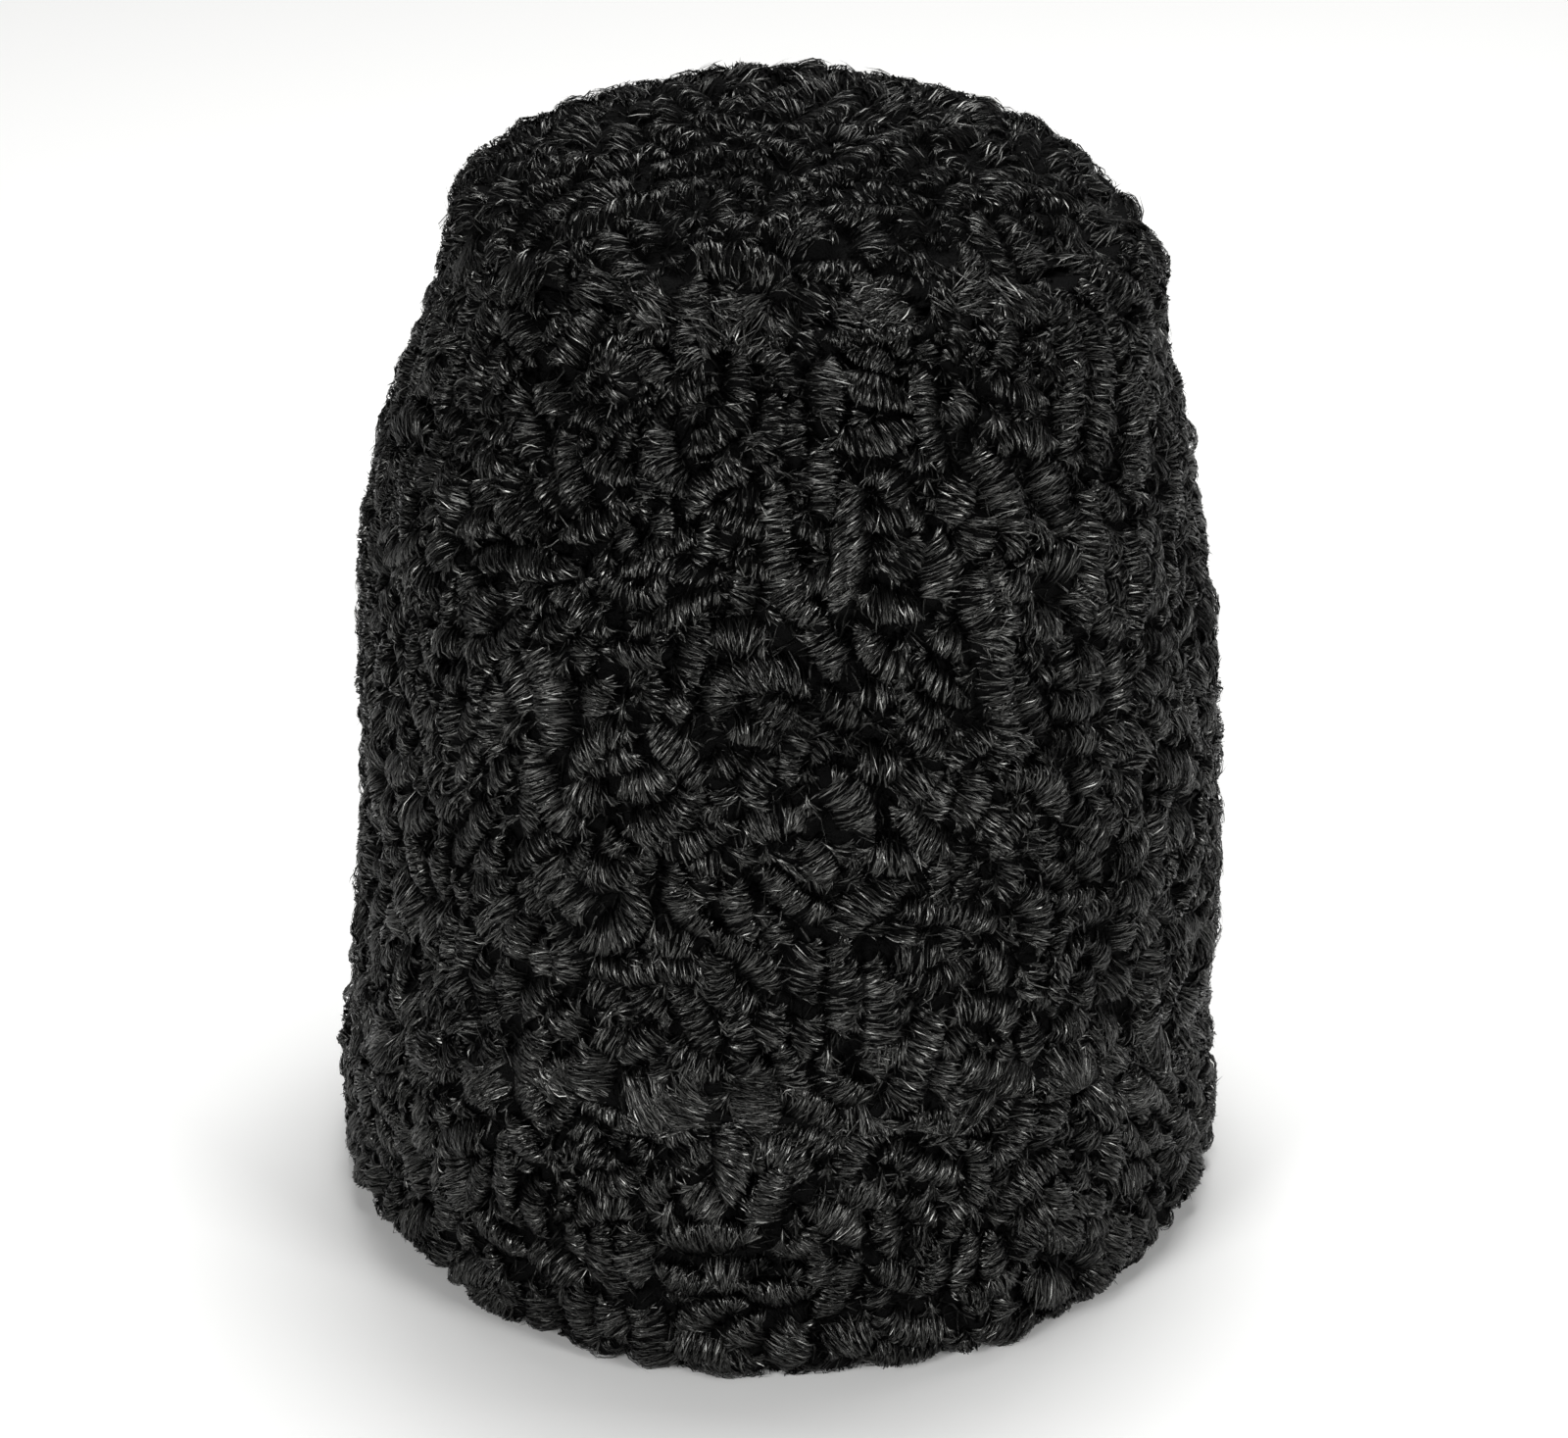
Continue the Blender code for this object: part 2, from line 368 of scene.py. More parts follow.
# %% [markdown]
# The first numbers say how curls are laid. The lie of the wool turns by up to LIE_TURN, and a curl
# follows it over FOLLOW_LENGTH. The radii are those of the tightest bends and hooks. A curl takes
# BODY of its half width of room, and is stopped by what lies within ELBOW of it. Once they lie,
# every curl swells until it meets its neighbours, which the second numbers are for, and gets a
# height. Its tips point to the side that a slow flow of the wool prefers, bar a few.

# %% Curls
LIE_TURN = 1.25 * math.pi
SIZE_SPREAD = 0.35
SIZE_PATCH = 22.0 * MILLIMETRE
NARROW = 0.72
NARROW_TO_WIDE = 0.9
BEND_RADIUS = 11.0 * MILLIMETRE
HOOK_RADIUS = 3.2 * MILLIMETRE
STRAIGHT_CHANCE = 0.45
HOOK_START = 0.55
FOLLOW_LENGTH = 4.0 * MILLIMETRE
WALK_STEP = 0.8 * MILLIMETRE
AXIS_POINTS = 14
BODY = 0.92
ELBOW = 0.58
KEPT_LENGTH = 0.7
EDGE_MARGIN = 1.0 * MILLIMETRE

SWELL = 1.2
FILL_REACH = 8.0 * MILLIMETRE
FILL_SHARE = 0.86
NARROWEST = 1.6 * MILLIMETRE
WIDEST = 7.5 * MILLIMETRE
ROUNDNESS = 0.92
THICKEST = 5.0 * MILLIMETRE
CREST = 0.28
BILLOW = 1.0 * MILLIMETRE
BILLOW_PATCH = 30.0 * MILLIMETRE
FLOW_TURN = 1.9
FLOW_PATCH = 45.0 * MILLIMETRE
FLOW_CHANCE = 0.25


class Curls:
    """All the curls of one sheet, laid one by one on its map."""

    def __init__(self, sheet, half_width, seed, lie_width, follow):
        self.sheet = sheet
        self.map = Map(sheet)
        self.random = np.random.default_rng(seed)
        self.half_width = half_width
        self.follow = follow
        self.taken = np.zeros(self.map.shape, dtype=bool)
        self.lie = LIE_TURN * soft_noise(self.map.shape, lie_width, self.random)
        self.size = 1.0 + SIZE_SPREAD * soft_noise(self.map.shape, SIZE_PATCH, self.random)
        self.squeezes = sheet.squeeze(np.arange(self.map.shape[0]) * CELL)
        self.limits = np.append(sheet.reaches, sheet.reaches[0]) - EDGE_MARGIN
        self.axes = []
        self.halves = []
        self.drops = []
        self.sides = []

    def cell_of(self, across, down):
        """Whole row and column of one map position, or None outside the map."""
        row = int((down + self.map.half) / CELL)
        column = int((across + self.map.half) / self.map.across_cell)
        if row < 0 or row >= self.map.shape[0]:
            return None
        if self.sheet.planar:
            azimuth = math.atan2(down, across) / TURN % 1.0
            run = math.hypot(across, down)
        else:
            azimuth = across / self.sheet.reference % 1.0
            run = down
        if run > self.limits[int(azimuth * COLUMNS_AROUND)]:
            return None
        return row, column % self.map.shape[1]

    def bare(self, across, down, heading, half):
        """Whether a curl of this half width can pass here."""
        here = self.cell_of(across, down)
        if here is None:
            return False
        squeeze = self.squeezes[here[0]]
        reach = ELBOW * half
        for side in (-reach, 0.0, reach):
            beside = self.cell_of(across - math.sin(heading) * side / squeeze,
                                  down + math.cos(heading) * side)
            if beside is not None and self.taken[beside]:
                return False
        return True

    def walk(self, across, down, heading, bend, half, steps, hook):
        """March one way until the curl is long enough or meets another."""
        path = []
        for number in range(steps):
            here = self.cell_of(across, down)
            if here is None:
                break
            turn = self.lie[here] - heading
            turn = math.atan2(math.sin(2 * turn), math.cos(2 * turn)) / 2
            heading += self.follow * turn * WALK_STEP / FOLLOW_LENGTH + bend * WALK_STEP
            if number > steps * HOOK_START:
                heading += hook * WALK_STEP
            across += math.cos(heading) * WALK_STEP / self.squeezes[here[0]]
            down += math.sin(heading) * WALK_STEP
            if not self.bare(across, down, heading, half):
                break
            path.append((across, down))
        return path

    def cover(self, path, half):
        """Mark the cells under a curl as taken."""
        for across, down in path:
            row, column = self.map.cells(across, down)
            squeeze = self.squeezes[min(max(int(row), 0), self.map.shape[0] - 1)]
            rows_out = int(BODY * half / CELL) + 1
            columns_out = int(BODY * half / CELL / squeeze) + 1
            rows = np.arange(int(row) - rows_out, int(row) + rows_out + 1)
            columns = np.arange(int(column) - columns_out, int(column) + columns_out + 1)
            rows = rows[(rows >= 0) & (rows < self.map.shape[0])]
            near = ((rows[:, None] - row) * CELL) ** 2
            near = near + ((columns[None, :] - column) * CELL * squeeze) ** 2
            inside = near < (BODY * half) ** 2
            place = np.ix_(rows, columns % self.map.shape[1])
            self.taken[place] |= inside

    def add(self, path, half, drop, side):
        """Keep a curl: its path is thinned to a fixed number of points."""
        path = np.array(path)
        if len(path) == 1:
            path = np.concatenate([path, path + (0.3 * MILLIMETRE, 0.0)])
        steps = np.linalg.norm(np.diff(path, axis=0), axis=1)
        run = np.concatenate([[0.0], np.cumsum(steps)])
        wanted = np.linspace(0.0, run[-1], AXIS_POINTS)
        axis = [np.interp(wanted, run, path[:, part]) for part in range(2)]
        self.axes.append(np.stack(axis, axis=1))
        self.halves.append(half)
        self.drops.append(drop)
        self.sides.append(side)
        self.cover(path, half)

    def lay(self, spots, scale, longest, shortest, drop):
        """Try a number of spots, and lay a curl from each one that is bare."""
        random = self.random
        chances = random.random((spots, 8))
        for chance in chances:
            if self.sheet.planar:
                reach = math.sqrt(chance[0]) * self.sheet.depth
                across = reach * math.cos(chance[1] * TURN)
                down = reach * math.sin(chance[1] * TURN)
            else:
                across = chance[1] * self.sheet.reference
                down = chance[0] * self.sheet.depth
            here = self.cell_of(across, down)
            if here is None or self.taken[here]:
                continue
            half = self.half_width * scale * self.size[here]
            half = half * (NARROW + NARROW_TO_WIDE * chance[2] ** 2.2)
            heading = self.lie[here] + 0.5 * (chance[3] - 0.5)
            if not self.bare(across, down, heading, half):
                continue
            steps = int((shortest + (longest - shortest) * chance[4] ** 1.4) / WALK_STEP / 2)
            bend = (chance[5] - 0.5) * 2.0 / BEND_RADIUS
            hook = (chance[6] - 0.5) * 2.0 / HOOK_RADIUS * (chance[7] > STRAIGHT_CHANCE)
            ahead = self.walk(across, down, heading, bend, half, steps, hook)
            behind = self.walk(across, down, heading + math.pi, -bend, half, steps, 0.0)
            path = behind[::-1] + [(across, down)] + ahead
            if len(path) * WALK_STEP < shortest * KEPT_LENGTH:
                continue
            low = drop * (0.3 + random.random())
            self.add(path, half, low, 1 if random.random() < 0.5 else -1)

    def window(self, axis, out):
        """Rows and columns of the map round a curl, and offsets in metres to its points."""
        rows, columns = self.map.cells(axis[:, 0], axis[:, 1])
        last = self.map.shape[0] - 1
        squeeze = self.squeezes[int(np.clip(rows.mean(), 0, last))]
        row = np.arange(max(0, int(rows.min() - out / CELL)),
                        min(last, int(rows.max() + out / CELL)) + 1)
        reach = out / CELL / squeeze
        column = np.arange(int(columns.min() - reach), int(columns.max() + reach) + 1)
        down = (row[:, None, None] - rows) * CELL + np.zeros((1, len(column), 1))
        across = (column[None, :, None] - columns) * self.map.across_cell * squeeze + 0 * down
        return np.ix_(row, column % self.map.shape[1]), across, down

    def fill_out(self):
        """Widen every curl until it meets its neighbours."""
        nearest = np.full(self.map.shape, FILL_REACH)
        owner = np.full(self.map.shape, -1)
        for number, axis in enumerate(self.axes):
            place, across, down = self.window(axis, FILL_REACH)
            far = np.sqrt((across ** 2 + down ** 2).min(axis=2))
            wins = far < nearest[place]
            nearest[place] = np.where(wins, far, nearest[place])
            owner[place] = np.where(wins, number, owner[place])
        order = np.argsort(owner, axis=None, kind="stable")
        owners = owner.ravel()[order]
        distances = nearest.ravel()[order]
        starts = np.searchsorted(owners, np.arange(len(self.axes)))
        ends = np.searchsorted(owners, np.arange(len(self.axes)), side="right")
        for number, (start, end) in enumerate(zip(starts, ends)):
            if end > start:
                wide = float(np.quantile(distances[start:end], FILL_SHARE)) * SWELL
                self.halves[number] = min(max(wide, NARROWEST), WIDEST)

    def settle(self):
        """Turn the lists into arrays and choose the side that each curl's tips point to."""
        self.axes = np.array(self.axes)
        self.halves = np.array(self.halves)
        self.fill_out()
        self.rises = np.minimum(ROUNDNESS * self.halves, THICKEST)
        middle = self.axes[:, AXIS_POINTS // 2]
        billow = BILLOW * soft_noise(self.map.shape, BILLOW_PATCH, self.random)
        self.tops = CREST * self.halves - np.array(self.drops)
        self.tops += self.map.read(billow, middle[:, 0], middle[:, 1])
        ways = self.tangents()
        middle_way = ways[:, AXIS_POINTS // 2]
        flow = self.map.read(
            math.pi / 2 + FLOW_TURN * soft_noise(self.map.shape, FLOW_PATCH, self.random),
            middle[:, 0], middle[:, 1])
        if self.sheet.planar:
            flow = flow - math.pi / 2 + np.arctan2(middle[:, 1], middle[:, 0])
        normal = np.stack([-middle_way[:, 1], middle_way[:, 0]], axis=1)
        facing = normal[:, 0] * np.cos(flow) + normal[:, 1] * np.sin(flow)
        chance = FLOW_CHANCE * self.random.standard_normal(len(facing))
        given = np.array(self.sides)
        self.sides = np.where(np.abs(given) > 1, np.sign(given),
                              np.where(facing + chance > 0, 1, -1))

    def true_steps(self):
        """Steps along every axis, in metres on the real surface."""
        steps = np.diff(self.axes, axis=1)
        middles = (self.axes[:, 1:, 1] + self.axes[:, :-1, 1]) / 2
        steps[..., 0] *= self.sheet.squeeze(middles)
        return steps

    def tangents(self):
        """Unit directions along every axis at its points."""
        steps = self.true_steps()
        padded = np.concatenate([steps[:, :1], steps, steps[:, -1:]], axis=1)
        return unit(padded[:, 1:] + padded[:, :-1])

    def runs(self):
        """Length of every axis from its first point to each point."""
        lengths = np.linalg.norm(self.true_steps(), axis=2)
        return np.concatenate([np.zeros((len(lengths), 1)), np.cumsum(lengths, axis=1)], axis=1)


# %% [markdown]
# Most curls may fall by chance, but some in the photograph catch the eye. Those are charted:
# each is a few points in the photograph's own pixels, carried onto the hat by a ray from the
# camera.

# %% Charted curls
def find_on_sheet(sheet, tree, pixel):
    """Map position of the place on a sheet that a pixel of the photograph shows."""
    across = (pixel[0] - PHOTO_WIDTH / 2) / PHOTO_WIDTH * SENSOR_WIDTH / LENS
    up = (PHOTO_HEIGHT / 2 - pixel[1]) / PHOTO_WIDTH * SENSOR_WIDTH / LENS
    direction = camera.rotation_quaternion @ Vector((across, up, -1.0))
    place = np.array(tree.ray_cast(camera.location, direction)[0])
    middle = np.array((crown_middle.x, crown_middle.y, 0.0)) if sheet.planar else np.zeros(3)
    column = math.atan2(place[1] - middle[1], place[0] - middle[0]) / TURN % 1.0
    grid_column = sheet.points[:, int(column * COLUMNS_AROUND)]
    row = int(np.linalg.norm(grid_column - place, axis=1).argmin())
    run = row * ROW_STEP
    if sheet.planar:
        return run * math.cos(column * TURN), run * math.sin(column * TURN)
    return column * sheet.reference, run


WALL_CHART = [
    ("short ridge high on the left", 3.6, 1, [(624, 305), (600, 330), (574, 367)]),
    ("round curl", 3.0, 1, [(605, 372), (622, 364), (640, 375), (640, 395), (622, 404)]),
    ("level ridge under the crown", 3.4, 1, [(838, 262), (900, 268), (962, 280)]),
    ("curl below it", 3.4, 1, [(847, 330), (880, 308), (925, 320)]),
    ("hook at the crown's edge", 3.2, 1, [(977, 195), (985, 215), (962, 232)]),
    ("left side of the big loop", 3.2, -1, [(787, 500), (790, 560), (805, 615), (830, 636)]),
    ("right side of the big loop", 3.2, 1, [(873, 500), (872, 560), (862, 615)]),
    ("inner arc", 3.0, -1, [(1052, 320), (1075, 310), (1092, 345), (1096, 400), (1090, 470)]),
    ("outer arc", 3.0, -1, [(1105, 315), (1125, 350), (1130, 410), (1122, 475)]),
    ("upright ridge one", 3.0, -1, [(1110, 500), (1115, 570), (1108, 640)]),
    ("upright ridge two", 3.0, -1, [(1150, 370), (1160, 440), (1156, 510)]),
    ("upright ridge three", 3.0, -1, [(1155, 540), (1162, 600), (1156, 650)]),
    ("upright ridge four", 3.0, -1, [(1190, 400), (1200, 470), (1198, 540)]),
    ("wavy ridge", 3.2, -1, [(1012, 573), (1028, 630), (1014, 690), (1028, 740), (1018, 787)]),
    ("lobe on the left", 4.2, 1, [(585, 780), (610, 750), (640, 745)]),
    ("fan", 4.2, 1, [(665, 745), (690, 770), (715, 800)]),
    ("broad lobe", 6.0, -1, [(850, 800), (865, 820), (875, 840)]),
    ("rolled curl", 3.8, -1, [(855, 965), (862, 1010), (855, 1050)]),
    ("rolled curl beside it", 3.8, -1, [(890, 980), (900, 1040), (892, 1095)]),
]
CROWN_CHART = [
    ("long smooth strip", 4.4, 1, [(944, 120), (900, 140), (855, 165), (810, 180)]),
    ("light tuft", 4.4, -1, [(777, 225), (815, 212), (851, 235)]),
    ("combed lock", 4.4, 1, [(563, 239), (610, 222), (660, 205), (708, 189)]),
]


def lay_chart(curls, tree, chart):
    """Lay the charted curls before any others."""
    for name, half, side, pixels in chart:
        path = [find_on_sheet(curls.sheet, tree, pixel) for pixel in pixels]
        curls.add(path, half * MILLIMETRE, -0.5 * MILLIMETRE, 2 * side)
    print(curls.sheet.name, "charted curls", len(chart))


wall_curls = Curls(wall, 3.7 * MILLIMETRE, 21, 26 * MILLIMETRE, 0.16)
cuff_curls = Curls(cuff, 4.1 * MILLIMETRE, 22, 26 * MILLIMETRE, 0.16)
crown_curls = Curls(crown, 4.2 * MILLIMETRE, 23, 34 * MILLIMETRE, 0.22)
lay_chart(wall_curls, wall_tree, WALL_CHART)
lay_chart(crown_curls, crown_tree, CROWN_CHART)
for curls, spots in ((wall_curls, 16000), (cuff_curls, 8000), (crown_curls, 2500)):
    curls.lay(spots, 1.0, 30 * MILLIMETRE, 12 * MILLIMETRE, 0.8 * MILLIMETRE)
    first = len(curls.axes)
    curls.lay(spots, 0.85, 16 * MILLIMETRE, 7 * MILLIMETRE, 1.2 * MILLIMETRE)
    curls.lay(spots, 0.62, 5 * MILLIMETRE, 1 * MILLIMETRE, 1.6 * MILLIMETRE)
    curls.settle()
    print(curls.sheet.name, "curls", first, "and small ones", len(curls.axes) - first,
          "bare share", round(float(1 - curls.taken.mean()), 3))

# %% [markdown]
# A curl is a roll with a lean: its root side rises gently and its tip side hangs over, like a
# wave about to break. One short table holds that shape for the whole hat. Where curls meet, the
# higher one wins, which leaves a sharp dark crease between them.

# %% The shape of a curl
LEAN = 0.50
FALL_DEGREES = 63.0
FALL = math.radians(FALL_DEGREES)
END_NIP = 0.24
TUCK = 0.4 * MILLIMETRE
WOBBLE = 0.08
WOBBLE_LENGTH = 2.1 * MILLIMETRE
FLOOR = -4.6 * MILLIMETRE
SKIN_INSET = 0.6 * MILLIMETRE
CREASE_SOFTENING = 2
CARVE_REACH = 1.25
CARVE_EDGE = 1.1

shape_turns = np.radians(np.linspace(-90.0, FALL_DEGREES, 60))
shape_across = np.sin(shape_turns) + LEAN * np.cos(shape_turns)
shape_height = np.cos(shape_turns)


def roll_height(across):
    """Height of a roll at a distance across it, in parts of its half width."""
    return np.interp(across, shape_across, shape_height, left=0.0, right=0.0)


def along_curl(number, run, length):
    """How full a curl is at places along it, and how far it sinks there toward its ends."""
    end = np.abs(2.0 * run / np.maximum(length, 1e-9) - 1.0)
    wobble = WOBBLE * np.sin(run / WOBBLE_LENGTH + 2.4 * number)
    return 1.0 - END_NIP * end ** 3 + wobble, TUCK * end ** 3


def carve(curls):
    """Stamp every curl into a map of height."""
    shape = curls.map.shape
    height = np.full(shape, FLOOR)
    ways = curls.tangents()
    runs = curls.runs()
    for number, axis in enumerate(curls.axes):
        full, sink = along_curl(number, runs[number], runs[number, -1])
        base = curls.tops[number] - curls.rises[number] - SKIN_INSET
        place, across, down = curls.window(axis, CARVE_REACH * curls.halves[number] + CELL)
        best = (across ** 2 + down ** 2).argmin(axis=2)
        pick = best[..., None]
        near_row = np.take_along_axis(down, pick, 2)[..., 0]
        near_column = np.take_along_axis(across, pick, 2)[..., 0]
        way = ways[number][best]
        lateral = (way[..., 0] * near_row - way[..., 1] * near_column) * curls.sides[number]
        inner = (best > 0) & (best < AXIS_POINTS - 1)
        far = np.where(inner, np.abs(lateral), np.hypot(near_row, near_column))
        share = 0.5 + 0.5 * lateral / np.maximum(far, 1e-9)
        share = share * share * (3 - 2 * share)
        part = far / (curls.halves[number] * full[best] - SKIN_INSET)
        body = roll_height(part) * share + roll_height(-part) * (1 - share)
        new = base - sink[best] + curls.rises[number] * full[best] * body
        new = np.where(part < CARVE_EDGE, new, FLOOR)
        height[place] = np.maximum(height[place], new)
    return soften(height[..., None], CREASE_SOFTENING)[..., 0]


for curls in (wall_curls, cuff_curls, crown_curls):
    curls.height = carve(curls)
    middle_height = float(np.median(curls.height)) / MILLIMETRE
    print(curls.sheet.name, "middle height", round(middle_height, 2), "mm")

# %% [markdown]
# Each pelt is a closed carved mesh: the curls stand up from the sheet outside, and inside is the
# plain skin side. It is built straight from arrays, because it has thousands of faces. It shows
# only as the dark ground between the hairs, so it stays coarse and a little inside the curls.

# %% Mesh building
def object_from_arrays(name, points, quads, triangles, uv=None):
    """A new object from arrays of points, four-sided faces and three-sided faces."""
    mesh = bpy.data.meshes.new(name)
    corners = np.concatenate([quads.ravel(), triangles.ravel()]).astype(np.int32)
    sizes = np.concatenate([np.full(len(quads), 4), np.full(len(triangles), 3)])
    starts = np.concatenate([[0], np.cumsum(sizes)[:-1]]).astype(np.int32)
    mesh.vertices.add(len(points))
    mesh.vertices.foreach_set("co", points.astype(np.float32).ravel())
    mesh.loops.add(len(corners))
    mesh.loops.foreach_set("vertex_index", corners)
    mesh.polygons.add(len(sizes))
    mesh.polygons.foreach_set("loop_start", starts)
    mesh.polygons.foreach_set("loop_total", sizes.astype(np.int32))
    if uv is not None:
        layer = mesh.uv_layers.new(name="hair")
        layer.data.foreach_set("uv", uv[corners].astype(np.float32).ravel())
    mesh.update(calc_edges=True)
    mesh.validate()
    mesh.shade_smooth()
    made = bpy.data.objects.new(name, mesh)
    bpy.context.scene.collection.objects.link(made)
    return made


def ring_quads(rows, columns, close_rows=False):
    """Faces of a grid that closes round its columns, and round its rows where asked."""
    row = np.arange(rows if close_rows else rows - 1)[:, None]
    column = np.arange(columns)[None, :]
    below = (row + 1) % rows
    after = (column + 1) % columns
    quads = np.stack([
        row * columns + column + 0 * after,
        below * columns + column + 0 * after,
        below * columns + after,
        row * columns + after,
    ], axis=-1)
    return quads.reshape(-1, 4)


FLOOR_CLEARANCE = 0.2 * MILLIMETRE
SEAM_FLOOR = -1.2 * MILLIMETRE
SEAM_REACH = 5.0 * MILLIMETRE


def carved(curls, across, down):
    """Points of the carved outside at map positions."""
    sheet = curls.sheet
    height = curls.map.read(curls.height, across, down)
    length = sheet.round_value(sheet.lengths, across, down)
    edge = length - np.hypot(across, down) if sheet.planar else np.minimum(length - down, down)
    fill = np.clip(1.0 - edge / SEAM_REACH, 0.0, 1.0)
    height = np.maximum(height, FLOOR + (SEAM_FLOOR - FLOOR) * fill)
    facing = sheet.read(sheet.facing, across, down)
    points = sheet.read(sheet.points, across, down) + facing * height[..., None]
    points[..., 2] = np.maximum(points[..., 2], 2.0 * FLOOR_CLEARANCE)
    return points


# %% Wall pelt
PELT_COLUMNS = 400
WALL_ROWS = 110
INSIDE_ROWS = 8
pelt_share = np.arange(PELT_COLUMNS) / PELT_COLUMNS


def outside_rows(curls, rows):
    """The carved outside as rows from the sheet's top to its seam or its end."""
    sheet = curls.sheet
    across = pelt_share[None, :] * sheet.reference + np.zeros((rows, 1))
    share = np.linspace(0.0, 1.0, rows)[:, None]
    down = share * sheet.round_value(sheet.lengths, across, 0.0 * across)
    return carved(curls, across, down)


def inside_point(tree, azimuth, height):
    """A point on the inner side of a piece, found from the upright axis."""
    place = tree.ray_cast(Vector((0.0, 0.0, height)), Vector(around(azimuth, 1.0, 0.0)))[0]
    return np.array(place)


def wall_inside(rows):
    """The skin side of the wall, from the cuff up to the crown."""
    heights = np.linspace(wall_low.z + SEAM_CLEARANCE, wall_high.z - SEAM_CLEARANCE, rows)
    coarse = np.array([[inside_point(wall_tree, a, h) for a in azimuths] for h in heights])
    coarse = soften(coarse, 2)
    place = pelt_share * COLUMNS_AROUND
    column = place.astype(int)
    share = (place - column)[None, :, None]
    after = (column + 1) % COLUMNS_AROUND
    return coarse[:, column] * (1 - share) + coarse[:, after] * share


no_triangles = np.zeros((0, 3), dtype=int)
wall_grid = np.concatenate([outside_rows(wall_curls, WALL_ROWS), wall_inside(INSIDE_ROWS)])
wall_quads = ring_quads(len(wall_grid), PELT_COLUMNS, close_rows=True)
wall_skin = object_from_arrays("wall_pelt", wall_grid.reshape(-1, 3), wall_quads, no_triangles)
print("wall pelt faces", len(wall_quads))

# %% Cuff pelt
CUFF_ROWS = 60
CUFF_LIP = 1.5 * MILLIMETRE
CUFF_BACK_SHARE = 0.955
cuff_outside = outside_rows(cuff_curls, CUFF_ROWS)
cuff_back_low = cuff_outside[-1] + np.array((0.0, 0.0, CUFF_LIP))
cuff_back_top = cuff_outside[0] * np.array((CUFF_BACK_SHARE, CUFF_BACK_SHARE, 1.0))
cuff_back_foot = cuff_back_top * np.array((1.0, 1.0, 0.0)) + cuff_back_low * np.array((0, 0, 1.0))
cuff_grid = np.concatenate([
    cuff_outside, cuff_back_low[None], cuff_back_foot[None], cuff_back_top[None]
])
cuff_quads = ring_quads(len(cuff_grid), PELT_COLUMNS, close_rows=True)
cuff_skin = object_from_arrays("cuff_pelt", cuff_grid.reshape(-1, 3), cuff_quads, no_triangles)
print("cuff pelt faces", len(cuff_quads))

# %% Crown pelt
CROWN_ROWS = 44
CROWN_COLUMNS = 170
CROWN_HOLE = 0.004
CROWN_DEPTH = 9.0 * MILLIMETRE
crown_turns = np.arange(CROWN_COLUMNS) * TURN / CROWN_COLUMNS
crown_reach = np.linspace(CROWN_HOLE, 1.0, CROWN_ROWS)[:, None]
crown_lengths = np.interp(crown_turns, np.append(azimuths, TURN),
                          np.append(crown.lengths, crown.lengths[0]))
crown_across = crown_reach * crown_lengths * np.cos(crown_turns)
crown_down = crown_reach * crown_lengths * np.sin(crown_turns)
crown_outside = carved(crown_curls, crown_across, crown_down)
crown_under = crown_outside[::-12].copy()
crown_under[:, :, 2] -= CROWN_DEPTH
crown_under[0, :, 2] = crown_low.z + SEAM_CLEARANCE
crown_grid = np.concatenate([crown_outside, crown_under])
crown_quads = ring_quads(len(crown_grid), CROWN_COLUMNS)
crown_points = np.concatenate([crown_grid.reshape(-1, 3), [crown_outside[0].mean(axis=0)],
                               [crown_under[-1].mean(axis=0)]])
around_top = np.arange(CROWN_COLUMNS)
around_next = (around_top + 1) % CROWN_COLUMNS
last_row = (len(crown_grid) - 1) * CROWN_COLUMNS
top_point = len(crown_points) - 2
top_fan = np.stack([np.full(CROWN_COLUMNS, top_point), around_top, around_next], axis=1)
under_fan = np.stack([np.full(CROWN_COLUMNS, top_point + 1), last_row + around_next,
                      last_row + around_top], axis=1)
crown_skin = object_from_arrays("crown_pelt", crown_points, crown_quads,
                                np.concatenate([top_fan, under_fan]))
print("crown pelt faces", len(crown_quads))

# %% [markdown]
# Everything that can be seen of a curl is wound round it. A place on a roll is told by four
# numbers: how far along the curl, how far round from its crest, how far the fan has opened at an
# end, and how far out from the roll. One function turns these into points for whole arrays.

# %% Points on a roll
FRINGE = 0.10
MOST_LIFT = 1.7 * MILLIMETRE
ROOT_LIFT = 0.7 * MILLIMETRE
HAIR_INSET = 0.6


